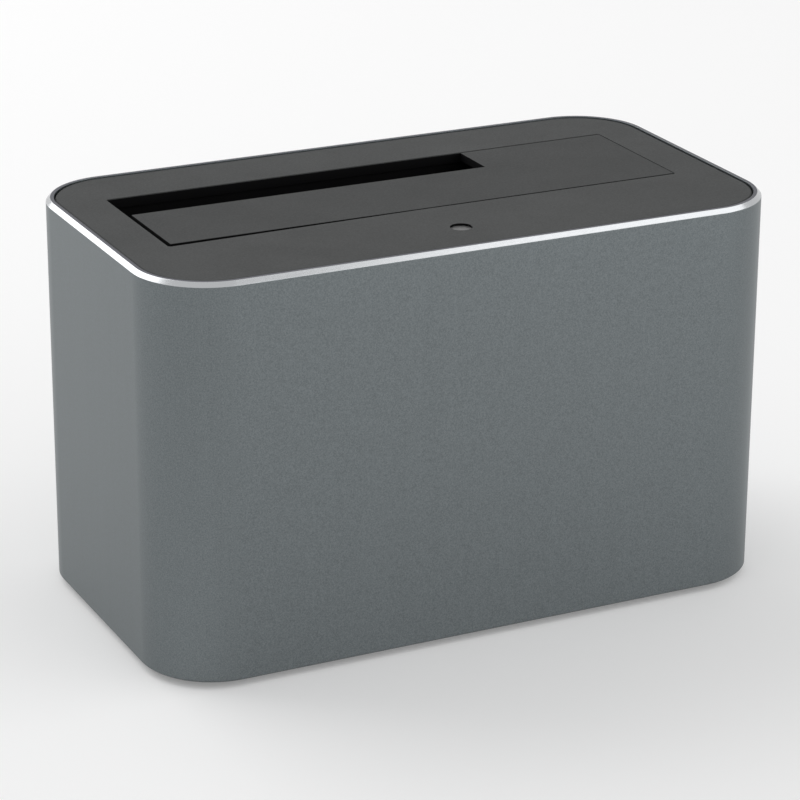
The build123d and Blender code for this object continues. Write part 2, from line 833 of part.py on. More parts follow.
def usb_contacts():
    """Flat contacts above and below the thick tongue, and five under the thin one."""
    thick_low, thin_low = tongue_levels()
    back = plate_face - usb_tongue_setback - usb_contact_width
    rows = [
        (thick_low + usb_tongue_height, usb_tongue_width / 4, (-1, 1)),
        (thick_low - usb_contact_thickness, usb_tongue_width / 4, (-1, 1)),
        (thin_low - usb_contact_thickness, usb_contact_pitch * 2 / 3, (-2, -1, 0, 1, 2)),
    ]
    contacts = []
    for low, step, places in rows:
        for place in places:
            x = usb_x + place * step
            half = usb_contact_width / 2
            front = back - usb_contact_length
            contacts.append(block(x - half, x + half, front, back, low, low + usb_contact_thickness))
    return Compound(children=contacts)


def power_inlet_body():
    """Moulded body of the power inlet with its round bore and a slot for the leaf contact."""
    half = jack_width / 2
    front = plate_face - jack_length
    body = block(jack_x - half, jack_x + half, front, plate_face, board_top, board_top + jack_height)
    bore_bottom = plate_face - jack_bore_depth
    body -= along_y(Circle(jack_bore_radius), jack_x, jack_axis_z, bore_bottom, plate_face + overrun)
    body -= along_y(Circle(jack_pin_radius), jack_x, jack_axis_z, front - overrun, bore_bottom)
    groove = jack_leaf_width / 2 + jack_leaf_gap
    leaf_low = jack_axis_z - jack_bore_radius - jack_leaf_thickness
    leaf_end = bore_bottom + jack_leaf_length + jack_leaf_gap
    return body - block(jack_x - groove, jack_x + groove, bore_bottom, leaf_end, leaf_low, jack_axis_z)


def power_inlet_pin():
    """Centre pin of the power inlet, with a tapered tip."""
    tip = plate_face - jack_pin_setback
    pin = along_y(Circle(jack_pin_radius), jack_x, jack_axis_z, plate_face - jack_length, tip)
    return chamfer(pin.faces().sort_by(Axis.Y)[-1].edges(), jack_pin_taper)


def power_inlet_leaf():
    """Leaf contact that lies in the floor of the bore."""
    half = jack_leaf_width / 2
    low = jack_axis_z - jack_bore_radius - jack_leaf_thickness
    front = plate_face - jack_bore_depth
    return block(jack_x - half, jack_x + half, front, front + jack_leaf_length, low, low + jack_leaf_thickness)


def power_switch_body():
    """Hollow switch body with a hole for the plunger."""
    body = along_y(Rectangle(switch_width, switch_height), switch_x, switch_axis_z, switch_front, switch_back)
    room = Rectangle(switch_width - 2 * switch_wall, switch_height - 2 * switch_wall)
    body -= along_y(room, switch_x, switch_axis_z, spring_room_front, switch_back - switch_wall)
    hole = Rectangle(plunger_width + 2 * plunger_gap, plunger_width + 2 * plunger_gap)
    return body - along_y(hole, switch_x, switch_axis_z, collar_back, switch_back + overrun)


def switch_plunger():
    """Square plunger with the collar that the spring pushes on."""
    collar = along_y(Rectangle(plunger_collar, plunger_collar), switch_x, switch_axis_z, collar_front, collar_back)
    stem = Rectangle(plunger_width, plunger_width)
    return collar + along_y(stem, switch_x, switch_axis_z, collar_front, button_tip - button_length / 2)


def power_button():
    """Button cap with bevelled edges, hollow to take the plunger."""
    outline = RectangleRounded(button_width, button_height, button_round)
    cap = along_y(outline, switch_x, switch_axis_z, button_tip - button_length, button_tip)
    cap = chamfer(cap.faces().sort_by(Axis.Y)[-1].edges(), button_bevel)
    socket = Rectangle(plunger_width, plunger_width)
    low, high = button_tip - button_length - overrun, button_tip - button_length / 2
    return cap - along_y(socket, switch_x, switch_axis_z, low, high)


def return_spring_pitch():
    """Pitch at which the return spring fills the room in front of the collar."""
    room = collar_front - spring_room_front - 2 * return_spring_end_gap
    return (room - return_spring_wire) / return_spring_turns


def switch_return_spring():
    """Coil spring in front of the plunger's collar, along the plunger's line."""
    coil = coil_path(return_spring_radius, return_spring_pitch(), 0, return_spring_turns, 1 / 2)
    spring = Rot(0, 0, 90) * swept_wire(coil, return_spring_wire)
    start = spring_room_front + return_spring_end_gap + return_spring_wire / 2
    return Pos(switch_x, start, switch_axis_z) * spring


def rear_port_plate():
    """Moulded plate in the sleeve's rear window, with an opening for each port."""
    width = plate_width - 2 * plate_gap
    height = plate_height - 2 * plate_gap
    wall_inside = inner_depth / 2
    outline = RectangleRounded(width, height, plate_corner_radius - plate_gap)
    plate = along_y(outline, 0, plate_middle_z, wall_inside, plate_face)
    border = 2 * plate_flange_width
    flange = RectangleRounded(plate_width + border, plate_height + border, plate_corner_radius)
    flange_front = wall_inside - plate_flange_thickness
    plate += along_y(flange, 0, plate_middle_z, flange_front, wall_inside)
    low, high = flange_front - overrun, plate_face + overrun
    usb_hole = Rectangle(usb_width + 2 * port_gap, usb_height + 2 * port_gap)
    plate -= along_y(usb_hole, usb_x, board_top + usb_height / 2, low, high)
    jack_hole = Rectangle(jack_width + 2 * port_gap, jack_height + 2 * port_gap)
    plate -= along_y(jack_hole, jack_x, board_top + jack_height / 2, low, high)
    button_hole = RectangleRounded(button_width + 2 * port_gap, button_height + 2 * port_gap, button_round + port_gap)
    return plate - along_y(button_hole, switch_x, switch_axis_z, low, high)


def base_plate():
    """Moulded base with screw seats, board standoffs, foot recesses and vent slots."""
    base = rounded_prism(
        inner_width - 2 * base_gap, inner_depth - 2 * base_gap, inner_radius - base_gap, base_bottom, base_top
    )
    for place in post_places:
        base += post(place, standoff_radius, base_top, board_bottom)
    for place in post_places + corner_places:
        base -= post(place, screw_hole_radius, base_bottom - overrun, board_bottom + overrun)
        base -= screw_seat(place, base_bottom)
    for place in foot_places:
        base -= post(place, foot_radius + foot_gap, base_bottom - overrun, base_bottom + foot_sunk)
    vent = SlotOverall(vent_length, vent_width, rotation=90)
    for index in range(vent_count):
        x = (index - (vent_count - 1) / 2) * vent_pitch
        base -= Pos(x, 0, base_bottom - overrun) * extrude(vent, base_thickness + 2 * overrun)
    return base


def rubber_feet():
    """Four round feet with a bevelled edge, stuck in the recesses of the base."""
    feet = []
    for place in foot_places:
        foot = post(place, foot_radius, 0, base_bottom + foot_sunk)
        feet.append(chamfer(edges_at_bottom(foot), foot_bevel))
    return Compound(children=feet)


def screw_group(places, head_low, length):
    """Like screws at a list of places."""
    return Compound(children=[screw(place, head_low, length) for place in places])


def light_guide():
    """Clear rod that carries the indicator's light from the board to the window in the panel."""
    collar_bottom = panel_underside - guide_boss_height
    collar_top = collar_bottom + guide_collar_height
    rod = post(indicator_place, guide_radius, board_top + led_height + led_gap, collar_bottom)
    collar = post(indicator_place, guide_collar_radius, collar_bottom, collar_top)
    head = post(indicator_place, indicator_radius, collar_top, panel_top - indicator_recess)
    return rod + collar + head


def indicator_led():
    """Small surface-mounted light source under the light guide."""
    return chip(indicator_place, led_length, led_width, led_height)


def board_place(shares):
    """Place on the board, from shares of its width and depth counted from its middle."""
    return shares[0] * board_width, (board_front + board_back) / 2 + shares[1] * board_depth


def chip(place, length, width, height):
    """Flat part that stands on the board."""
    return Pos(place[0], place[1], board_top + height / 2) * Box(length, width, height)


def bridge_chip():
    """Chip that joins the drive to the USB socket."""
    return chip(board_place(bridge_chip_shares), bridge_chip_size, bridge_chip_size, bridge_chip_height)


def memory_chip():
    """Small memory that holds the bridge chip's program."""
    return chip(board_place(memory_chip_shares), memory_chip_length, memory_chip_width, memory_chip_height)


def crystal():
    """Crystal beside the bridge chip."""
    return chip(board_place(crystal_shares), crystal_length, crystal_width, crystal_height)


def regulator_chips():
    """Voltage regulators side by side."""
    places = [board_place(shares) for shares in regulator_shares]
    return Compound(children=[chip(place, regulator_length, regulator_width, regulator_height) for place in places])


def power_inductors():
    """Moulded coil behind each regulator, with rounded upright edges."""
    coils = []
    for shares in inductor_shares:
        x, y = board_place(shares)
        body = extrude(RectangleRounded(inductor_size, inductor_size, inductor_round), inductor_height)
        coils.append(Pos(x, y, board_top) * body)
    return Compound(children=coils)


def electrolytic_capacitors():
    """Round capacitor cans on square feet."""
    cans = []
    for shares in capacitor_shares:
        place = board_place(shares)
        foot = chip(place, capacitor_base, capacitor_base, capacitor_base_height)
        can = post(place, capacitor_radius, board_top + capacitor_base_height, board_top + capacitor_height)
        cans.append(foot + chamfer(edges_at_top(can), capacitor_bevel))
    return Compound(children=cans)


def board_components():
    """Small resistors and capacitors in rows on the front left of the board."""
    first_x, first_y = board_place(chip_part_shares)
    parts = []
    for column in range(chip_part_columns):
        for row in range(chip_part_rows):
            place = (first_x + column * chip_part_pitch, first_y + row * chip_part_pitch)
            parts.append(chip(place, chip_part_length, chip_part_width, chip_part_height))
    return Compound(children=parts)


def all_nodes():
    """Every piece by the name of its node."""
    base_head = base_bottom + screw_head_gap
    bay_head = boss_bottom - bay_lug_thickness + screw_head_gap
    return {
        "housing_sleeve": housing_sleeve(),
        "top_panel": top_panel(),
        "slot_door": slot_door(),
        "door_hinge_pin": door_hinge_pin(),
        "door_spring_left": door_spring(-1),
        "door_spring_right": door_spring(1),
        "drive_bay": drive_bay(),
        "bay_screws": screw_group(boss_places, bay_head, bay_screw_length),
        "main_board": main_board(),
        "sata_receptacle": sata_receptacle(),
        "sata_contacts": sata_contacts(),
        "usb_shell": usb_shell(),
        "usb_insulator": usb_insulator(),
        "usb_contacts": usb_contacts(),
        "power_inlet_body": power_inlet_body(),
        "power_inlet_pin": power_inlet_pin(),
        "power_inlet_leaf": power_inlet_leaf(),
        "power_switch_body": power_switch_body(),
        "switch_plunger": switch_plunger(),
        "switch_return_spring": switch_return_spring(),
        "power_button": power_button(),
        "rear_port_plate": rear_port_plate(),
        "base_plate": base_plate(),
        "rubber_feet": rubber_feet(),
        "base_screws": screw_group(corner_places, base_head, base_screw_length),
        "board_screws": screw_group(post_places, base_head, base_screw_length),
        "light_guide": light_guide(),
        "indicator_led": indicator_led(),
        "bridge_chip": bridge_chip(),
        "memory_chip": memory_chip(),
        "regulator_chips": regulator_chips(),
        "power_inductors": power_inductors(),
        "electrolytic_capacitors": electrolytic_capacitors(),
        "crystal": crystal(),
        "board_components": board_components(),
    }


os.makedirs("parts", exist_ok=True)
for name, shape in all_nodes().items():
    export_step(shape, "parts/" + name + ".step")
door_gap = least_coil_gap(spring_radius, spring_pitch, spring_turns, spring_wire)
return_gap = least_coil_gap(return_spring_radius, return_spring_pitch(), return_spring_turns, return_spring_wire)
print("least gap in a door spring", round(door_gap, 3))
print("least gap in the return spring", round(return_gap, 3))
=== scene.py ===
import json
from math import cos, pi, radians

import bmesh
import bpy
from bpy.props import FloatProperty, FloatVectorProperty, IntProperty, PointerProperty
from bpy.types import Operator, Panel, PropertyGroup
from mathutils import Euler, Matrix, Vector

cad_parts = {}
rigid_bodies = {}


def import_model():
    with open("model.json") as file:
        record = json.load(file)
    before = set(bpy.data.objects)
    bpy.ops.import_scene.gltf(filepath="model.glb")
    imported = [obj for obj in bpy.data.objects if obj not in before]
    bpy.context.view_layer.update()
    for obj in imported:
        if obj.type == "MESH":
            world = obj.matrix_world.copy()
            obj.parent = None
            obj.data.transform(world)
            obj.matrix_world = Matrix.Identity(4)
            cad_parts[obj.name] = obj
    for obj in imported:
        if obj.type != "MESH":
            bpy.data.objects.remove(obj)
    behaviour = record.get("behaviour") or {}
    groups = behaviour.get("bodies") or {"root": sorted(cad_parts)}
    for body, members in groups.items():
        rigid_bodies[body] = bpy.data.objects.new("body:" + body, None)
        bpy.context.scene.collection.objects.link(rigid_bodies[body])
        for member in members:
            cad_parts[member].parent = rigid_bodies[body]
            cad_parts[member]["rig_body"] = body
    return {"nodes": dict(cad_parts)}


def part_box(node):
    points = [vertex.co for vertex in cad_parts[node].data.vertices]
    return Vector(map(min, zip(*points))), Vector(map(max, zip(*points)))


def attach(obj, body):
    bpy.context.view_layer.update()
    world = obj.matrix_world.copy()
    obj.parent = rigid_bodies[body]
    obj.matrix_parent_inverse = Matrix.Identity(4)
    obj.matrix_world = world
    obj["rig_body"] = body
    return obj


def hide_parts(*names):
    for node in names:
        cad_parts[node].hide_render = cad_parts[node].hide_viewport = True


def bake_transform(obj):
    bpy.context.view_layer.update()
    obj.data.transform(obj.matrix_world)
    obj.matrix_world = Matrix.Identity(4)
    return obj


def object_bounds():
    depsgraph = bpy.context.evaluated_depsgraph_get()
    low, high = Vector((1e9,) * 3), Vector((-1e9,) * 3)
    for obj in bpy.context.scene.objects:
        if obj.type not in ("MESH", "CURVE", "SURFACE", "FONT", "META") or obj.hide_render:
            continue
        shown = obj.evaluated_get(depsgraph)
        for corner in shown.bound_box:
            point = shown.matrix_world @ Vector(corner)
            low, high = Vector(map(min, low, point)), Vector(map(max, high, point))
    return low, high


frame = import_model()

bl_info = {
    "name": "Hard drive docking station",
    "version": (1, 0, 0),
    "blender": (4, 5, 0),
    "location": "View3D > Sidebar > Dock",
    "description": "Dresses a hard drive docking station with finished pieces and a studio",
    "category": "Object",
}

# Metres. X runs along the long side, Y to the back, Z up, and the floor is at zero.
CAD_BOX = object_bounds()
SLEEVE_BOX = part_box("housing_sleeve")
PLATE_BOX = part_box("rear_port_plate")
PIN_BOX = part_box("door_hinge_pin")

# How finely round forms are divided, and how flat edges must be to look smooth
CORNER_STEPS = 20
WINDOW_STEPS = 6
WIRE_SIDES = 12
ROUND_PROFILE = 0.5
SMOOTH_ANGLE = radians(32)
SOFTEN_ANGLE = radians(36)
FLAT_ANGLE = radians(0.4)

# How near points have to be to share a place or a level
SAME_PLACE = 1e-7
LEVEL_SLACK = 0.000004

# Where a vector keeps its parts along Y and Z
Y_AXIS = 1
Z_AXIS = 2

# How closely a direction has to follow an axis, and how far up a face has to look not to be a wall
ALONG_AXIS = 0.999
LOOKS_UP = 0.5

# Most of the noise lies between these values
NOISE_LOW = 0.3
NOISE_HIGH = 0.7

# Roundings of the edges that have no setting of their own
SHEET_EDGE = 0.00008
SOCKET_EDGE = 0.0001
MOULDED_EDGE = 0.00015
RUBBER_EDGE = 0.0002


def display_colour(red, green, blue):
    """Linear colour of three values as a screen shows them, from 0 to 255."""
    colour = []
    for value in (red, green, blue):
        share = value / 255
        colour.append(share / 12.92 if share <= 0.04045 else ((share + 0.055) / 1.055) ** 2.4)
    return tuple(colour)


# Colours of the pieces that have no setting of their own
CONNECTOR_BLACK = display_colour(24, 24, 25)
PORT_BLACK = display_colour(34, 35, 36)
SOCKET_BLACK = display_colour(22, 22, 23)
BUTTON_GREY = display_colour(60, 61, 62)
USB_BLUE = display_colour(24, 92, 178)
FOOT_BLACK = display_colour(26, 26, 27)
CHIP_BLACK = display_colour(30, 30, 32)
INDUCTOR_GREY = display_colour(70, 70, 72)
LED_WHITE = display_colour(214, 212, 200)
BOARD_GREEN = display_colour(24, 74, 48)
GOLD = display_colour(226, 188, 112)
HINGE_STEEL = display_colour(176, 177, 180)
SPRING_STEEL = display_colour(150, 151, 154)
SHELL_STEEL = display_colour(196, 198, 200)
SCREW_STEEL = display_colour(120, 121, 124)
CAPACITOR_CAN = display_colour(190, 192, 195)
CRYSTAL_CAN = display_colour(200, 200, 202)


# Materials: the shader first, then patterns on the object's own coordinates


def new_finish(name, colour, roughness, metallic=0.0):
    """Material with its shader set, and the shader."""
    material = bpy.data.materials.new(name)
    material.use_nodes = True
    shader = material.node_tree.nodes["Principled BSDF"]
    shader.inputs["Base Color"].default_value = (*colour, 1.0)
    shader.inputs["Roughness"].default_value = roughness
    shader.inputs["Metallic"].default_value = metallic
    return material, shader


def noise(tree, size, detail=2.0, stretch=(1.0, 1.0, 1.0)):
    """Noise whose marks are about the given size, in metres, drawn out along an axis by the stretch."""
    place = tree.nodes.new("ShaderNodeTexCoord")
    mapping = tree.nodes.new("ShaderNodeMapping")
    mapping.inputs["Scale"].default_value = [1.0 / (size * length) for length in stretch]
    tree.links.new(place.outputs["Object"], mapping.inputs["Vector"])
    pattern = tree.nodes.new("ShaderNodeTexNoise")
    pattern.inputs["Scale"].default_value = 1.0
    pattern.inputs["Detail"].default_value = detail
    tree.links.new(mapping.outputs["Vector"], pattern.inputs["Vector"])
    return pattern.outputs["Fac"]


def spread_values(tree, factor, low, high):
    """Values between low and high that follow the noise."""
    spread = tree.nodes.new("ShaderNodeMapRange")
    spread.inputs["From Min"].default_value = NOISE_LOW
    spread.inputs["From Max"].default_value = NOISE_HIGH
    spread.inputs["To Min"].default_value = low
    spread.inputs["To Max"].default_value = high
    tree.links.new(factor, spread.inputs["Value"])
    return spread.outputs["Result"]


def mixed(tree, first, second, share):
    """Two patterns in one, with the given share of the second."""
    mix = tree.nodes.new("ShaderNodeMix")
    mix.inputs["Factor"].default_value = share
    tree.links.new(first, mix.inputs["A"])
    tree.links.new(second, mix.inputs["B"])
    return mix.outputs["Result"]


def vary_colour(tree, shader, factor, colour, change):
    """Base colour that wanders by a share of itself with the noise."""
    ramp = tree.nodes.new("ShaderNodeValToRGB")
    ramp.color_ramp.elements[0].position = NOISE_LOW
    ramp.color_ramp.elements[1].position = NOISE_HIGH
    ramp.color_ramp.elements[0].color = (*(value * (1 - change) for value in colour), 1.0)
    ramp.color_ramp.elements[1].color = (*(value * (1 + change) for value in colour), 1.0)
    tree.links.new(factor, ramp.inputs["Fac"])
    tree.links.new(ramp.outputs["Color"], shader.inputs["Base Color"])


def vary_roughness(tree, shader, factor, low, high):
    """Roughness that wanders between two values with the noise."""
    tree.links.new(spread_values(tree, factor, low, high), shader.inputs["Roughness"])


def add_bump(tree, shader, height, depth):
    """Relief of a given depth, in metres."""
    bump = tree.nodes.new("ShaderNodeBump")
    bump.inputs["Distance"].default_value = depth
    tree.links.new(height, bump.inputs["Height"])
    tree.links.new(bump.outputs["Normal"], shader.inputs["Normal"])


def anodised_aluminium(name, colour):
    """Blasted and anodised extrusion: fine grain all over, with faint bands along the way it was drawn."""
    material, shader = new_finish(name, colour, roughness=0.42, metallic=1.0)
    tree = material.node_tree
    grain = noise(tree, size=0.0002)
    bands = noise(tree, size=0.0014, detail=3.0, stretch=(1.0, 1.0, 60.0))
    vary_colour(tree, shader, mixed(tree, grain, bands, share=0.05), colour, change=0.22)
    vary_roughness(tree, shader, grain, low=0.36, high=0.5)
    add_bump(tree, shader, grain, depth=0.000008)
    return material


def cut_aluminium(name, colour):
    """Bare aluminium left by a diamond tool."""
    material, shader = new_finish(name, colour, roughness=0.16, metallic=1.0)
    tree = material.node_tree
    marks = noise(tree, size=0.00006, stretch=(14.0, 14.0, 1.0))
    vary_roughness(tree, shader, marks, low=0.12, high=0.24)
    add_bump(tree, shader, marks, depth=0.0000004)
    return material


def moulded_plastic(name, colour, roughness, texture_size=0.00035, gloss=0.5):
    """Moulded plastic with the fine spark-eroded texture of its mould."""
    material, shader = new_finish(name, colour, roughness)
    shader.inputs["Specular IOR Level"].default_value = gloss
    tree = material.node_tree
    speckle = mixed(tree, noise(tree, size=0.0003, detail=1.0), noise(tree, size=0.012), share=0.4)
    vary_colour(tree, shader, speckle, colour, change=0.16)
    texture = noise(tree, texture_size, detail=3.0)
    unevenness = 0.07
    vary_roughness(tree, shader, texture, roughness - unevenness, roughness + unevenness)
    add_bump(tree, shader, texture, depth=0.000008)
    return material


def drawn_metal(name, colour, roughness, stretch=(1.0, 1.0, 1.0)):
    """Plated or bare metal with fine marks, which the stretch draws out along an axis."""
    material, shader = new_finish(name, colour, roughness, metallic=1.0)
    tree = material.node_tree
    vary_colour(tree, shader, noise(tree, size=0.003), colour, change=0.06)
    marks = noise(tree, size=0.00012, stretch=stretch)
    vary_roughness(tree, shader, marks, low=roughness * 0.75, high=roughness * 1.3)
    add_bump(tree, shader, marks, depth=0.000002)
    return material


def board_laminate(name, colour):
    """Solder mask over glass cloth, with the weave just showing."""
    material, shader = new_finish(name, colour, roughness=0.3)
    shader.inputs["Coat Weight"].default_value = 0.4
    tree = material.node_tree
    vary_colour(tree, shader, noise(tree, size=0.0045, detail=4.0), colour, change=0.18)
    weave = noise(tree, size=0.0004, stretch=(3.0, 1.0, 1.0))
    add_bump(tree, shader, weave, depth=0.000004)
    return material


def clear_acrylic(name, colour):
    """Frosted light guide."""
    material, shader = new_finish(name, colour, roughness=0.35)
    shader.inputs["Transmission Weight"].default_value = 0.25
    shader.inputs["IOR"].default_value = 1.49
    tree = material.node_tree
    frost = noise(tree, size=0.0002)
    vary_roughness(tree, shader, frost, low=0.3, high=0.45)
    add_bump(tree, shader, frost, depth=0.000004)
    return material


def soft_rubber(name, colour):
    """Matt rubber."""
    material, shader = new_finish(name, colour, roughness=0.8)
    shader.inputs["Sheen Weight"].default_value = 0.15
    tree = material.node_tree
    vary_colour(tree, shader, noise(tree, size=0.002), colour, change=0.12)
    add_bump(tree, shader, noise(tree, size=0.0003), depth=0.00001)
    return material


def paint_node(node, material):
    """Puts a finish on a node of the frame."""
    frame["nodes"][node].material_slots[0].material = material


# Pieces: bare meshes become finished objects in the place of the frame's nodes


def new_object(name, mesh_data, materials):
    """Object with its finishes, in the scene."""
    made = bpy.data.objects.new(name, mesh_data)
    bpy.context.scene.collection.objects.link(made)
    for material in materials:
        mesh_data.materials.append(material)
    return made


def add_piece(name, mesh_data, body, materials, node):
    """Finished object that rides on a body and stands for a node."""
    piece = new_object(name, mesh_data, materials)
    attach(piece, body)
    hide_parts(node)
    return piece


def smooth_mesh(mesh, name):
    """Mesh data from a bmesh, smooth wherever its faces nearly line up."""
    mesh_data = bpy.data.meshes.new(name)
    mesh.to_mesh(mesh_data)
    mesh.free()
    mesh_data.shade_smooth()
    mesh_data.set_sharp_from_angle(angle=SMOOTH_ANGLE)
    return mesh_data


def finished_mesh(mesh, name):
    """Smooth mesh data from a bmesh whose faces are turned outwards first."""
    bmesh.ops.recalc_face_normals(mesh, faces=mesh.faces)
    return smooth_mesh(mesh, name)


def soften_edges(piece, width, steps=2):
    """Rounds a piece's sharp edges, and keeps its flat faces flat to the light."""
    bevel = piece.modifiers.new("soft_edges", "BEVEL")
    bevel.limit_method = "ANGLE"
    bevel.angle_limit = SOFTEN_ANGLE
    bevel.width = width
    bevel.segments = steps
    bevel.use_clamp_overlap = True
    weighted = piece.modifiers.new("weighted_normals", "WEIGHTED_NORMAL")
    weighted.keep_sharp = True


def soft_copy(node, name, material, edge_width, painted_shade_material=None, skin=0.0):
    """Copy of a frame node with whole faces, soft edges and, if given, painted shade on its walls in a
    material of their own.
    """
    source = frame["nodes"][node]
    mesh = bmesh.new()
    mesh.from_mesh(source.data)
    bmesh.ops.remove_doubles(mesh, verts=mesh.verts, dist=SAME_PLACE)
    bmesh.ops.dissolve_limit(mesh, angle_limit=FLAT_ANGLE, verts=mesh.verts, edges=mesh.edges)
    if painted_shade_material:
        paint_shade_on_walls(mesh, skin)
    materials = [material, painted_shade_material] if painted_shade_material else [material]
    piece = add_piece(name, smooth_mesh(mesh, name), source["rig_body"], materials, node)
    soften_edges(piece, edge_width)
    return piece


def paint_shade_on_walls(mesh, skin):
    """Paints shade with the second material on all but the faces that look up and the top of an opening's
    walls.
    """
    top = max(vertex.co.z for vertex in mesh.verts)
    if skin:
        divide(mesh, (0, 0, top - skin), (0, 0, 1))
    mesh.normal_update()
    for face in mesh.faces:
        centre = face.calc_center_median()
        in_skin = skin and centre.z > top - skin and face.normal.dot(centre) < 0
        if face.normal.z < LOOKS_UP and not in_skin:
            face.material_index = 1


def divide(mesh, place, direction):
    """Divides the faces that a plane crosses."""
    everything = list(mesh.verts) + list(mesh.edges) + list(mesh.faces)
    bmesh.ops.bisect_plane(mesh, geom=everything, plane_co=place, plane_no=direction)


def edges_along(mesh, axis):
    """Edges that run along an axis."""
    found = []
    for edge in mesh.edges:
        first, second = edge.verts
        if abs((first.co - second.co).normalized()[axis]) > ALONG_AXIS:
            found.append(edge)
    return found


def bevel_edges(mesh, edges, width, steps=1):
    """Bevels edges, and returns the new faces."""
    bevel = bmesh.ops.bevel(
        mesh, geom=edges, offset=width, segments=steps, profile=ROUND_PROFILE, affect="EDGES", material=-1
    )
    return bevel["faces"]


class DockSleeveSettings(PropertyGroup):
    """Sizes and colours of the sleeve."""

    wall: FloatProperty(
        name="Wall", description="Thickness of the sleeve's wall", default=0.0015, unit="LENGTH"
    )
    corner_radius: FloatProperty(
        name="Corner radius", description="Outer radius of the upright corners", default=0.0142, unit="LENGTH"
    )
    rim_bevel: FloatProperty(
        name="Rim bevel", description="Width of the bright bevel round the top", default=0.0008, unit="LENGTH"
    )
    lower_bevel: FloatProperty(
        name="Lower bevel", description="Width of the bevel round the bottom", default=0.0004, unit="LENGTH"
    )
    window_border: FloatProperty(
        name="Window border", description="How far the port plate's flange reaches past the window",
        default=0.0018, unit="LENGTH",
    )
    window_radius: FloatProperty(
        name="Window radius", description="Corner radius of the rear window", default=0.0012, unit="LENGTH"
    )
    channel_radius: FloatProperty(
        name="Channel radius", description="Outer radius of the screw channels", default=0.0032, unit="LENGTH"
    )
    channel_bore: FloatProperty(
        name="Channel bore", description="Radius of the bore in the screw channels", default=0.0012,
        unit="LENGTH",
    )
    channel_slit: FloatProperty(
        name="Channel slit", description="Angle of the slit in the screw channels", default=radians(32),
        unit="ROTATION",
    )
    channel_merge: FloatProperty(
        name="Channel merge", description="How far the screw channels reach into the wall", default=0.0003,
        unit="LENGTH", precision=5,
    )
    channel_low: FloatProperty(
        name="Channel foot", description="Level of the lower ends of the channels", default=0.0037,
        unit="LENGTH",
    )
    channel_high: FloatProperty(
        name="Channel top", description="Level of the upper ends of the channels", default=0.0694,
        unit="LENGTH",
    )
    edge: FloatProperty(
        name="Edge", description="How far the sharp edges are rounded", default=0.00006, unit="LENGTH"
    )
    colour: FloatVectorProperty(
        name="Anodised colour", description="Colour of the anodised walls", subtype="COLOR", size=3,
        default=display_colour(113, 119, 121), min=0.0, max=1.0,
    )
    # Painted shade: the ring is the walls' anodised finish in a darker colour, which stands in for the dark
    # reflection on the flat ring
    ring_colour_painted_shade: FloatVectorProperty(
        name="Ring colour", description="Colour of the anodised ring inside the bevel", subtype="COLOR",
        size=3, default=display_colour(76, 77, 84), min=0.0, max=1.0,
    )
    # Painted shade: the bevel's bare aluminium is darker than bright aluminium, to stand in for the dimmer
    # reflection along parts of the bevel
    rim_colour_painted_shade: FloatVectorProperty(
        name="Bevel colour", description="Colour of the bare aluminium on the bevel", subtype="COLOR", size=3,
        default=display_colour(176, 178, 180), min=0.0, max=1.0,
    )


class DockPanelSettings(PropertyGroup):
    """Sizes and colours of the top panel and the door in it."""

    edge: FloatProperty(
        name="Edge", description="How far the moulded edges are rounded", default=0.00006, unit="LENGTH"
    )
    panel_edge: FloatProperty(
        name="Panel edge", description="How far the panel's own edges are rounded", default=0.00008,
        unit="LENGTH",
    )
    # Below this skin the walls of the panel's opening carry the painted shade
    panel_skin: FloatProperty(
        name="Panel skin", description="How far the panel's finish runs down into its opening",
        default=0.0002, unit="LENGTH",
    )
    opening_corner: FloatVectorProperty(
        name="Opening corner", description="Left front corner of the panel's opening", subtype="XYZ", size=3,
        default=(-0.052, -0.0106, 0.0764), unit="LENGTH",
    )
    corner_reach: FloatProperty(
        name="Corner reach", description="Size of the rounding in that corner, with a little over",
        default=0.0007, unit="LENGTH",
    )
    seam_widening: FloatProperty(
        name="Seam widening", description="How much wider the seam in front of the door is at its left end",
        default=0.0009, unit="LENGTH",
    )
    seam_even_from: FloatProperty(
        name="Seam even from", description="Place along X from where the front seam keeps its width",
        default=-0.002, unit="LENGTH",
    )
    panel_colour: FloatVectorProperty(
        name="Panel colour", description="Colour of the top panel", subtype="COLOR", size=3,
        default=display_colour(72, 73, 73), min=0.0, max=1.0,
    )
    door_colour: FloatVectorProperty(
        name="Door colour", description="Colour of the slot door", subtype="COLOR", size=3,
        default=display_colour(66, 67, 67), min=0.0, max=1.0,
    )
    # Near-black for the walls: the bare plastic's dark colour, deepened into painted shade for the slot
    # walls, the seams and the window's recess
    wall_colour_painted_shade: FloatVectorProperty(
        name="Wall colour", description="Colour of the bare plastic in the slot and the seams",
        subtype="COLOR", size=3, default=display_colour(5, 5, 6), min=0.0, max=1.0,
    )
    bay_colour: FloatVectorProperty(
        name="Bay colour", description="Colour of the drive bay under the slot", subtype="COLOR", size=3,
        default=display_colour(7, 7, 8), min=0.0, max=1.0,
    )
    window_colour: FloatVectorProperty(
        name="Window colour", description="Colour of the indicator's window", subtype="COLOR", size=3,
        default=display_colour(88, 88, 88), min=0.0, max=1.0,
    )


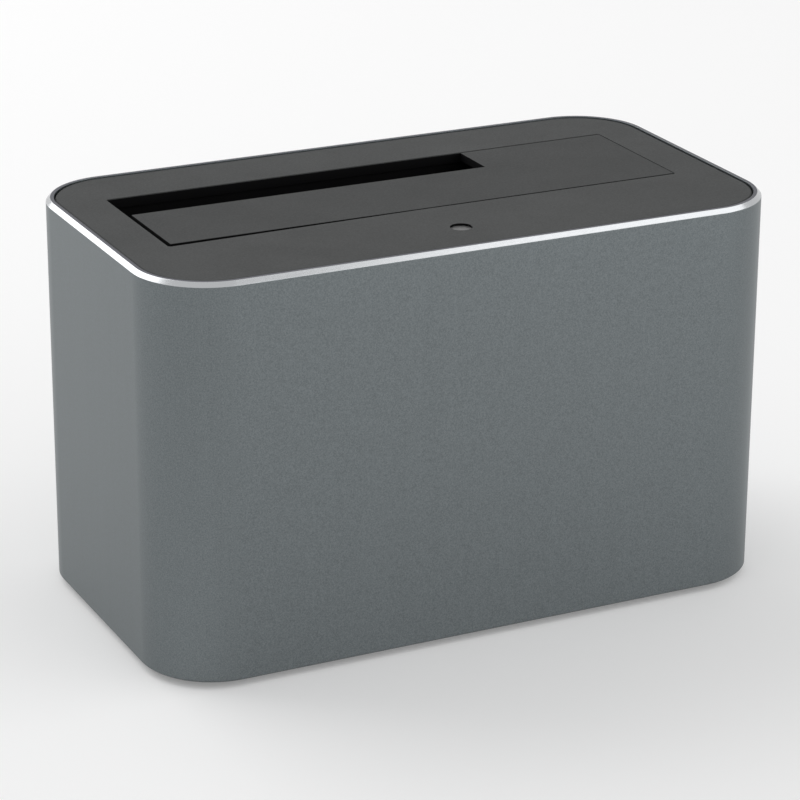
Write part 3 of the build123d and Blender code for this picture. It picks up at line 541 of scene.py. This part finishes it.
class DockSpringSettings(PropertyGroup):
    """Sizes of the door's torsion springs and of the switch's return spring."""

    wire: FloatProperty(
        name="Wire", description="Thickness of the spring wire", default=0.0006, unit="LENGTH"
    )
    radius: FloatProperty(
        name="Radius", description="Radius of the coil to the middle of the wire", default=0.00175,
        unit="LENGTH",
    )
    pitch: FloatProperty(
        name="Pitch", description="Distance from turn to turn", default=0.0011, unit="LENGTH", precision=5
    )
    start: FloatProperty(
        name="Start", description="Distance of the coil's origin from the middle of the dock",
        default=0.0396, unit="LENGTH",
    )
    turns: FloatProperty(name="Turns", description="Number of turns between the legs", default=3.25)
    door_leg: FloatProperty(
        name="Door leg", description="Length of the leg under the door", default=0.008, unit="LENGTH"
    )
    wall_leg: FloatProperty(
        name="Wall leg", description="Length of the leg on the bay's front wall", default=0.005, unit="LENGTH"
    )
    return_wire: FloatProperty(
        name="Return wire", description="Thickness of the return spring's wire", default=0.0004, unit="LENGTH"
    )
    return_radius: FloatProperty(
        name="Return radius", description="Radius of the return spring to the middle of its wire",
        default=0.002, unit="LENGTH",
    )
    return_turns: IntProperty(name="Return turns", description="Turns of the return spring", default=3, min=1)
    steps: IntProperty(name="Steps", description="Steps in one turn", default=28, min=8)


class DockStageSettings(PropertyGroup):
    """Camera, floor and lamps."""

    azimuth: FloatProperty(
        name="Azimuth", description="Camera's direction round Z", default=radians(-26.02), unit="ROTATION"
    )
    elevation: FloatProperty(
        name="Elevation", description="Camera's height above the horizon", default=radians(20.825),
        unit="ROTATION",
    )
    roll: FloatProperty(
        name="Roll", description="Camera's turn about its own line", default=radians(0.29), unit="ROTATION"
    )
    distance: FloatProperty(
        name="Distance", description="Camera's distance from the middle of the sleeve", default=0.6015,
        unit="LENGTH",
    )
    aside: FloatProperty(
        name="Aside", description="Camera's step to its right of the line to the sleeve's middle",
        default=-0.00081, unit="LENGTH", precision=5,
    )
    rise: FloatProperty(
        name="Rise", description="Camera's step up from the line to the sleeve's middle",
        default=-0.00349, unit="LENGTH", precision=5,
    )
    lens: FloatProperty(
        name="Lens", description="Focal length in millimetres", default=142.32, unit="CAMERA"
    )
    floor_size: FloatProperty(name="Floor size", description="Width of the floor", default=6.0, unit="LENGTH")
    floor_colour: FloatVectorProperty(
        name="Floor colour", description="Colour of the floor", subtype="COLOR", size=3,
        default=(0.94, 0.94, 0.94), min=0.0, max=1.0,
    )
    floor_glow: FloatProperty(
        name="Floor glow", description="Share of white in the floor that the camera and reflections see",
        default=0.2, min=0.0, max=1.0, subtype="FACTOR",
    )
    world_strength: FloatProperty(
        name="World strength", description="Strength of the even light", default=0.6
    )
    key_place: FloatVectorProperty(
        name="Key place", description="Place of the key lamp, above the dock and behind it to the left",
        subtype="XYZ", size=3, default=(-0.5, 0.95, 0.9), unit="LENGTH",
    )
    key_size: FloatProperty(name="Key size", description="Width of the key lamp", default=1.2, unit="LENGTH")
    key_power: FloatProperty(
        name="Key power", description="Power of the key lamp in watts", default=9.0, unit="POWER"
    )
    top_place: FloatVectorProperty(
        name="Top place", description="Place of the lamp that the bevel shows along its right half",
        subtype="XYZ", size=3, default=(0.91, -0.38, 1.0), unit="LENGTH",
    )
    top_size: FloatProperty(
        name="Top size", description="Width of the lamp for the bevel", default=0.8, unit="LENGTH"
    )
    top_power: FloatProperty(
        name="Top power", description="Power of the lamp for the bevel", default=2.3, unit="POWER"
    )
    fill_place: FloatVectorProperty(
        name="Fill place", description="Place of the fill lamp, low and to the right of the camera",
        subtype="XYZ", size=3, default=(0.8, -1.3, 0.45), unit="LENGTH",
    )
    fill_power: FloatProperty(
        name="Fill power", description="Power of the fill lamp in watts", default=3.6, unit="POWER"
    )
    fill_size: FloatProperty(
        name="Fill size", description="Width of the fill lamp", default=1.0, unit="LENGTH"
    )


class DOCK_OT_sleeve(Operator):
    """Make the anodised sleeve with its bright bevel and the window in its back"""

    bl_idname = "dock.sleeve"
    bl_label = "Sleeve"

    def execute(self, context):
        settings = context.scene.dock_sleeve
        mesh = bmesh.new()
        sleeve_tube(mesh, settings)
        rim = bevel_sleeve_ends(mesh, settings)
        for face in rim:
            face.material_index = 1
        # Painted shade: the flat top ring gets the darker copy of the anodised finish
        for face in mesh.faces:
            if face.normal.z > ALONG_AXIS:
                face.material_index = 2
        cut_rear_window(mesh, settings)
        add_screw_channels(mesh, settings)
        walls = anodised_aluminium("anodised_aluminium", tuple(settings.colour))
        # Bare aluminium on the bevel, in a colour darkened as painted shade
        bright = cut_aluminium("diamond_cut_aluminium", tuple(settings.rim_colour_painted_shade))
        # Darker copy of the anodised finish for the ring, as painted shade
        ring = anodised_aluminium("anodised_ring_painted_shade", tuple(settings.ring_colour_painted_shade))
        name = "extruded_sleeve"
        finishes = [walls, bright, ring]
        mesh_data = finished_mesh(mesh, name)
        piece = add_piece(name, mesh_data, "dock", finishes, "housing_sleeve")
        soften_edges(piece, settings.edge)
        return {"FINISHED"}


def sleeve_tube(mesh, settings):
    """Open tube with rounded corners, from a block."""
    low, high = SLEEVE_BOX
    size = high - low
    place = Matrix.Translation((low + high) / 2) @ Matrix.Diagonal((*size, 1.0))
    bmesh.ops.create_cube(mesh, size=1.0, matrix=place)
    bevel_edges(mesh, edges_along(mesh, Z_AXIS), settings.corner_radius, CORNER_STEPS)
    caps = level_faces(mesh)
    bmesh.ops.inset_individual(mesh, faces=caps, thickness=settings.wall, use_even_offset=True)
    caps = [face for face in level_faces(mesh) if len(face.verts) > CORNER_STEPS]
    bmesh.ops.delete(mesh, geom=caps, context="FACES_ONLY")
    open_edges = [edge for edge in mesh.edges if edge.is_boundary]
    bmesh.ops.bridge_loops(mesh, edges=open_edges)


def level_faces(mesh):
    """Faces that look straight up or down."""
    return [face for face in mesh.faces if abs(face.normal.z) > ALONG_AXIS]


def outside_edges(mesh, level):
    """Edges of the outer outline at a level."""
    found = []
    for edge in mesh.edges:
        at_level = all(abs(vertex.co.z - level) < LEVEL_SLACK for vertex in edge.verts)
        walls = [face for face in edge.link_faces if abs(face.normal.z) < LOOKS_UP]
        if at_level and walls and walls[0].normal.dot(walls[0].calc_center_median()) > 0:
            found.append(edge)
    return found


def bevel_sleeve_ends(mesh, settings):
    """Bevels both ends of the tube on the outside, and returns the faces of the upper bevel."""
    mesh.normal_update()
    rim = bevel_edges(mesh, outside_edges(mesh, SLEEVE_BOX[1].z), settings.rim_bevel)
    bevel_edges(mesh, outside_edges(mesh, SLEEVE_BOX[0].z), settings.lower_bevel)
    return [face for face in rim if face.is_valid]


def cut_rear_window(mesh, settings):
    """Opens the window for the ports in the back wall and rounds its corners."""
    low, high = PLATE_BOX
    half = (high.x - low.x) / 2 - settings.window_border
    bottom, top = low.z + settings.window_border, high.z - settings.window_border
    mesh.normal_update()
    least_area = (SLEEVE_BOX[1].x - SLEEVE_BOX[0].x) * settings.corner_radius
    walls = [
        face for face in mesh.faces
        if abs(face.normal.y) > ALONG_AXIS and face.calc_center_median().y > 0 and len(face.verts) == 4
        and face.calc_area() > least_area
    ]
    for wall in walls:
        bmesh.ops.inset_individual(mesh, faces=[wall], thickness=settings.wall)
        centre = wall.calc_center_median()
        for vertex in wall.verts:
            vertex.co.x = half if vertex.co.x > centre.x else -half
            vertex.co.z = top if vertex.co.z > centre.z else bottom
    bmesh.ops.delete(mesh, geom=walls, context="FACES_ONLY")
    tunnel = bmesh.ops.bridge_loops(mesh, edges=[edge for edge in mesh.edges if edge.is_boundary])
    corners = [
        edge for edge in edges_along(mesh, Y_AXIS)
        if all(face in tunnel["faces"] for face in edge.link_faces)
    ]
    bevel_edges(mesh, corners, settings.window_radius, WINDOW_STEPS)


def add_screw_channels(mesh, settings):
    """Slit channels up the four corners, into which the base screws go."""
    reach = settings.corner_radius - settings.wall - settings.channel_radius + settings.channel_merge
    step = settings.corner_radius - reach * cos(pi / 4)
    bore, outside = settings.channel_bore, settings.channel_radius
    low, high = settings.channel_low, settings.channel_high
    slit_turn = Matrix.Rotation(settings.channel_slit / 2, 3, "Z")
    sweep = 2 * pi - settings.channel_slit
    for right in (-1, 1):
        for back in (-1, 1):
            x = right * (SLEEVE_BOX[1].x - step)
            y = back * (SLEEVE_BOX[1].y - step)
            inwards = Vector((-right, -back, 0)).normalized()
            profile = []
            for radius, z in ((bore, low), (outside, low), (outside, high), (bore, high)):
                profile.append(mesh.verts.new(Vector((x, y, z)) + slit_turn @ inwards * radius))
            face = mesh.faces.new(profile)
            bmesh.ops.spin(
                mesh, geom=region([face]), cent=(x, y, 0), axis=(0, 0, 1), angle=sweep, steps=CORNER_STEPS,
                use_duplicate=False,
            )


class DOCK_OT_top(Operator):
    """Make the top panel, the slot door and the indicator's window"""

    bl_idname = "dock.top"
    bl_label = "Top panel and door"

    def execute(self, context):
        settings = context.scene.dock_panel
        matt = 0.1
        charcoal = moulded_plastic(
            "charcoal_plastic", tuple(settings.panel_colour), roughness=0.72, gloss=matt
        )
        door_finish = moulded_plastic("door_plastic", tuple(settings.door_colour), roughness=0.7, gloss=matt)
        # Painted shade: the walls of the panel's opening and of the door are near-black, so that the slot,
        # the seams and the window's recess look shaded
        black = moulded_plastic("wall_plastic_painted_shade", tuple(settings.wall_colour_painted_shade), roughness=0.6, gloss=matt)
        panel = soft_copy(
            "top_panel", "panel_moulding", charcoal, settings.panel_edge, black, settings.panel_skin
        )
        widen_front_seam(panel.data, settings)
        soft_copy("slot_door", "door_moulding", door_finish, settings.edge, black)
        guide = clear_acrylic("light_guide_acrylic", tuple(settings.window_colour))
        soft_copy("light_guide", "light_guide_rod", guide, settings.edge)
        return {"FINISHED"}


def widen_front_seam(mesh_data, settings):
    """Moves the left front corner of the panel's opening forward, so that the door's front seam tapers."""
    mesh = bmesh.new()
    mesh.from_mesh(mesh_data)
    divide(mesh, (settings.seam_even_from, 0, 0), (1, 0, 0))
    for vertex in mesh.verts:
        step = vertex.co - Vector(settings.opening_corner)
        if max(abs(step.x), abs(step.y)) < settings.corner_reach:
            vertex.co.y -= settings.seam_widening
    mesh.to_mesh(mesh_data)
    mesh.free()


class DOCK_OT_bay(Operator):
    """Finish the drive bay with the hinge pin, the receptacle and its contacts"""

    bl_idname = "dock.bay"
    bl_label = "Drive bay"

    def execute(self, context):
        settings = context.scene.dock_panel
        bay = moulded_plastic("bay_plastic", tuple(settings.bay_colour), roughness=0.6, gloss=0.12)
        soft_copy("drive_bay", "bay_moulding", bay, settings.edge)
        black = moulded_plastic("connector_plastic", CONNECTOR_BLACK, roughness=0.42, texture_size=0.0006)
        soft_copy("sata_receptacle", "receptacle_moulding", black, settings.edge / 2)
        paint_node("sata_contacts", drawn_metal("gold_contact", GOLD, roughness=0.25))
        turned = drawn_metal("hinge_steel", HINGE_STEEL, roughness=0.22, stretch=(20.0, 1.0, 1.0))
        paint_node("door_hinge_pin", turned)
        return {"FINISHED"}


class DOCK_OT_springs(Operator):
    """Wind the door's two torsion springs and the switch's return spring"""

    bl_idname = "dock.springs"
    bl_label = "Springs"

    def execute(self, context):
        settings = context.scene.dock_springs
        steel = drawn_metal("spring_steel", SPRING_STEEL, roughness=0.24)
        for side, node in ((-1, "door_spring_left"), (1, "door_spring_right")):
            mesh = bmesh.new()
            door_end, wall_end = wind_spring(mesh, side, settings)
            add_spring(mesh, node, steel)
        mesh = bmesh.new()
        foot, head = wind_return_spring(mesh, settings)
        add_spring(mesh, "switch_return_spring", steel)
        return {"FINISHED"}


def add_spring(mesh, node, steel):
    """Finished spring that stands for a node."""
    name = node + "_wire"
    piece = new_object(name, finished_mesh(mesh, name), [steel])
    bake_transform(piece)
    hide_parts(node)


def wind_return_spring(mesh, settings):
    """Compression spring in front of the plunger's collar, and where it starts and ends."""
    low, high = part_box("switch_return_spring")
    foot = Vector(((low.x + high.x) / 2, low.y + settings.return_wire / 2, (low.z + high.z) / 2))
    pitch = (high.y - low.y - settings.return_wire) / settings.return_turns
    direction = Vector((settings.return_radius, pitch / (2 * pi), 0)).normalized()
    start = foot + Vector((0, 0, settings.return_radius))
    end_face = wire_end(mesh, start, direction, settings.return_wire)
    steps = settings.steps * settings.return_turns
    bmesh.ops.spin(
        mesh, geom=region([end_face]), cent=foot, axis=(0, 1, 0), dvec=(0, pitch / settings.steps, 0),
        angle=2 * pi * settings.return_turns, steps=steps, use_duplicate=False,
    )
    return Vector((foot.x, low.y, foot.z)), Vector((foot.x, high.y, foot.z))


def wire_end(mesh, place, direction, thickness):
    """Round face at the end of a wire, square to the wire's direction."""
    section = Matrix.Translation(place) @ direction.to_track_quat("Z", "Y").to_matrix().to_4x4()
    bmesh.ops.create_circle(
        mesh, cap_ends=True, radius=thickness / 2, segments=WIRE_SIDES, matrix=section
    )
    mesh.faces.ensure_lookup_table()
    return mesh.faces[0]


def wind_spring(mesh, side, settings):
    """Torsion spring on the hinge pin, and where its coil leaves the door leg and meets the wall leg."""
    axis = (PIN_BOX[0] + PIN_BOX[1]) / 2
    pitch = -side * settings.pitch
    first_turn = 0.25
    lead = Vector((pitch / (2 * pi), 0, 0))
    start = Vector((side * settings.start + pitch * first_turn, axis.y, axis.z + settings.radius))
    start_direction = (lead + Vector((0, -settings.radius, 0))).normalized()
    leg_end = start - start_direction * settings.door_leg
    end_face = wire_end(mesh, leg_end, start_direction, settings.wire)
    tip = draw_out(mesh, [end_face], start_direction * settings.door_leg)
    steps = round(settings.steps * settings.turns)
    coil = bmesh.ops.spin(
        mesh, geom=region(tip), cent=axis, axis=(1, 0, 0), dvec=(pitch * settings.turns / steps, 0, 0),
        angle=2 * pi * settings.turns, steps=steps, use_duplicate=False,
    )
    tip = [item for item in coil["geom_last"] if isinstance(item, bmesh.types.BMFace)]
    end_direction = (lead + Vector((0, 0, -settings.radius))).normalized()
    draw_out(mesh, tip, end_direction * settings.wall_leg)
    end = Vector((start.x + pitch * settings.turns, axis.y, axis.z))
    return Vector((start.x, axis.y, axis.z)), end


def region(faces):
    """Faces with their edges and vertices."""
    parts = list(faces)
    for face in faces:
        parts += list(face.edges) + list(face.verts)
    return list(dict.fromkeys(parts))


def draw_out(mesh, faces, step):
    """Extrudes faces by a step, and returns the moved faces."""
    drawn = bmesh.ops.extrude_face_region(mesh, geom=region(faces))["geom"]
    moved = [item for item in drawn if isinstance(item, bmesh.types.BMVert)]
    bmesh.ops.translate(mesh, verts=moved, vec=step)
    return [item for item in drawn if isinstance(item, bmesh.types.BMFace)]


class DOCK_OT_ports(Operator):
    """Finish the rear port plate, the sockets, the power switch and its button"""

    bl_idname = "dock.ports"
    bl_label = "Rear ports"

    def execute(self, context):
        plate = moulded_plastic("port_plastic", PORT_BLACK, roughness=0.5)
        soft_copy("rear_port_plate", "port_plate_moulding", plate, MOULDED_EDGE)
        black = moulded_plastic("socket_plastic", SOCKET_BLACK, roughness=0.4, texture_size=0.0006)
        soft_copy("power_inlet_body", "power_inlet_moulding", black, SOCKET_EDGE)
        soft_copy("power_switch_body", "switch_body_moulding", black, SOCKET_EDGE)
        paint_node("switch_plunger", plate)
        button = moulded_plastic("button_plastic", BUTTON_GREY, roughness=0.42)
        soft_copy("power_button", "button_cap", button, MOULDED_EDGE)
        plated = drawn_metal("plated_steel", SHELL_STEEL, roughness=0.22)
        soft_copy("usb_shell", "usb_shell_sheet", plated, SHEET_EDGE)
        paint_node("power_inlet_pin", plated)
        paint_node("power_inlet_leaf", plated)
        blue = moulded_plastic("usb_blue_plastic", USB_BLUE, roughness=0.42, texture_size=0.0006)
        soft_copy("usb_insulator", "usb_insulator_moulding", blue, SHEET_EDGE)
        paint_node("usb_contacts", drawn_metal("gold_plate", GOLD, roughness=0.25))
        return {"FINISHED"}


class DOCK_OT_base(Operator):
    """Finish the base plate, its feet and the screws"""

    bl_idname = "dock.base"
    bl_label = "Base"

    def execute(self, context):
        plate = moulded_plastic("base_plastic", PORT_BLACK, roughness=0.58)
        soft_copy("base_plate", "base_moulding", plate, MOULDED_EDGE)
        soft_copy("rubber_feet", "foot_pads", soft_rubber("foot_rubber", FOOT_BLACK), RUBBER_EDGE)
        screws = drawn_metal("screw_steel", SCREW_STEEL, roughness=0.3)
        for node in ("base_screws", "board_screws", "bay_screws"):
            paint_node(node, screws)
        return {"FINISHED"}


class DOCK_OT_board(Operator):
    """Finish the main board and the parts on it"""

    bl_idname = "dock.board"
    bl_label = "Main board"

    def execute(self, context):
        paint_node("main_board", board_laminate("board_laminate", BOARD_GREEN))
        package = moulded_plastic("chip_package", CHIP_BLACK, roughness=0.5, texture_size=0.0002)
        for node in ("bridge_chip", "memory_chip", "regulator_chips", "board_components"):
            paint_node(node, package)
        paint_node("power_inductors", moulded_plastic("inductor_body", INDUCTOR_GREY, roughness=0.6))
        paint_node("electrolytic_capacitors", drawn_metal("capacitor_can", CAPACITOR_CAN, roughness=0.3))
        paint_node("crystal", drawn_metal("crystal_can", CRYSTAL_CAN, roughness=0.2))
        paint_node("indicator_led", moulded_plastic("led_package", LED_WHITE, roughness=0.4))
        return {"FINISHED"}


class DOCK_OT_stage(Operator):
    """Set up the floor, the lamps and the camera"""

    bl_idname = "dock.stage"
    bl_label = "Stage"

    def execute(self, context):
        settings = context.scene.dock_stage
        add_floor(settings)
        add_world(context.scene, settings)
        add_lamp(context.scene, "key_lamp", settings.key_place, settings.key_size, settings.key_power)
        add_lamp(context.scene, "top_lamp", settings.top_place, settings.top_size, settings.top_power)
        add_lamp(context.scene, "fill_lamp", settings.fill_place, settings.fill_size, settings.fill_power)
        add_camera(context.scene, settings)
        context.scene.view_settings.view_transform = "Standard"
        return {"FINISHED"}


def add_floor(settings):
    """Plain pale floor."""
    mesh = bmesh.new()
    bmesh.ops.create_grid(mesh, x_segments=1, y_segments=1, size=settings.floor_size / 2)
    material, shader = new_finish("floor_paper", tuple(settings.floor_colour), roughness=0.9)
    add_glow(material.node_tree, shader, settings.floor_glow)
    new_object("floor", finished_mesh(mesh, "floor"), [material])


def add_glow(tree, shader, share):
    """Mixes plain white into what the camera, reflections and glass see of the floor."""
    white = tree.nodes.new("ShaderNodeEmission")
    part = tree.nodes.new("ShaderNodeMath")
    part.operation = "MULTIPLY"
    part.inputs[1].default_value = share
    tree.links.new(seen_directly(tree), part.inputs[0])
    mix = tree.nodes.new("ShaderNodeMixShader")
    tree.links.new(part.outputs["Value"], mix.inputs["Fac"])
    tree.links.new(shader.outputs["BSDF"], mix.inputs[1])
    tree.links.new(white.outputs["Emission"], mix.inputs[2])
    tree.links.new(mix.outputs["Shader"], tree.nodes["Material Output"].inputs["Surface"])


def add_world(scene, settings):
    """Even light from all round, white to the camera and in reflections."""
    world = bpy.data.worlds.new("studio")
    world.use_nodes = True
    scene.world = world
    tree = world.node_tree
    background = tree.nodes["Background"]
    background.inputs["Color"].default_value = (1.0, 1.0, 1.0, 1.0)
    background.inputs["Strength"].default_value = settings.world_strength
    white = tree.nodes.new("ShaderNodeBackground")
    white.inputs["Color"].default_value = (1.0, 1.0, 1.0, 1.0)
    mix = tree.nodes.new("ShaderNodeMixShader")
    tree.links.new(seen_directly(tree), mix.inputs["Fac"])
    tree.links.new(background.outputs["Background"], mix.inputs[1])
    tree.links.new(white.outputs["Background"], mix.inputs[2])
    tree.links.new(mix.outputs["Shader"], tree.nodes["World Output"].inputs["Surface"])


def seen_directly(tree):
    """One for the rays by which the camera, a reflection or glass sees the background, and zero for light."""
    path = tree.nodes.new("ShaderNodeLightPath")
    seen = path.outputs["Is Camera Ray"]
    for kind in ("Is Glossy Ray", "Is Transmission Ray"):
        either = tree.nodes.new("ShaderNodeMath")
        either.operation = "MAXIMUM"
        tree.links.new(seen, either.inputs[0])
        tree.links.new(path.outputs[kind], either.inputs[1])
        seen = either.outputs["Value"]
    return seen


def add_lamp(scene, name, place, size, power):
    """Soft square lamp that points at the dock."""
    light = bpy.data.lights.new(name, "AREA")
    light.size = size
    light.energy = power
    lamp = bpy.data.objects.new(name, light)
    lamp.location = place
    aim = (CAD_BOX[0] + CAD_BOX[1]) / 2 - lamp.location
    lamp.rotation_euler = aim.to_track_quat("-Z", "Y").to_euler()
    scene.collection.objects.link(lamp)


def add_camera(scene, settings):
    """Camera at the photograph's angle."""
    camera = bpy.data.objects.new("camera", bpy.data.cameras.new("camera"))
    scene.collection.objects.link(camera)
    camera.data.lens = settings.lens
    camera.data.clip_start = 0.01
    turn = Euler((pi / 2 - settings.elevation, 0, settings.azimuth)).to_matrix()
    turn @= Matrix.Rotation(settings.roll, 3, "Z")
    target = (SLEEVE_BOX[0] + SLEEVE_BOX[1]) / 2
    camera.location = target + turn @ Vector((settings.aside, settings.rise, settings.distance))
    camera.rotation_euler = turn.to_euler()
    scene.camera = camera


PIECES = (
    DOCK_OT_sleeve, DOCK_OT_top, DOCK_OT_bay, DOCK_OT_springs, DOCK_OT_ports, DOCK_OT_base, DOCK_OT_board,
    DOCK_OT_stage,
)
SETTINGS = {
    "dock_sleeve": DockSleeveSettings,
    "dock_panel": DockPanelSettings,
    "dock_springs": DockSpringSettings,
    "dock_stage": DockStageSettings,
}


class DOCK_PT_pieces(Panel):
    """List of the dock's pieces and their settings."""

    bl_idname = "DOCK_PT_pieces"
    bl_label = "Hard drive dock"
    bl_space_type = "VIEW_3D"
    bl_region_type = "UI"
    bl_category = "Dock"

    def draw(self, context):
        for piece in PIECES:
            self.layout.operator(piece.bl_idname)
        for name in SETTINGS:
            box = self.layout.box()
            group = getattr(context.scene, name)
            for field in group.bl_rna.properties:
                if not field.is_readonly and field.identifier != "name":
                    box.prop(group, field.identifier)


def register():
    """Registers the settings, the operators and the panel."""
    for name, group in SETTINGS.items():
        bpy.utils.register_class(group)
        setattr(bpy.types.Scene, name, PointerProperty(type=group))
    for piece in PIECES:
        bpy.utils.register_class(piece)
    bpy.utils.register_class(DOCK_PT_pieces)


def unregister():
    """Takes out the panel, the operators and the settings."""
    bpy.utils.unregister_class(DOCK_PT_pieces)
    for piece in reversed(PIECES):
        bpy.utils.unregister_class(piece)
    for name, group in reversed(SETTINGS.items()):
        delattr(bpy.types.Scene, name)
        bpy.utils.unregister_class(group)


def main():
    """Makes every piece."""
    register()
    for piece in PIECES:
        group, name = piece.bl_idname.split(".")
        getattr(getattr(bpy.ops, group), name)()
    bpy.context.view_layer.update()


if __name__ == "__main__":
    main()
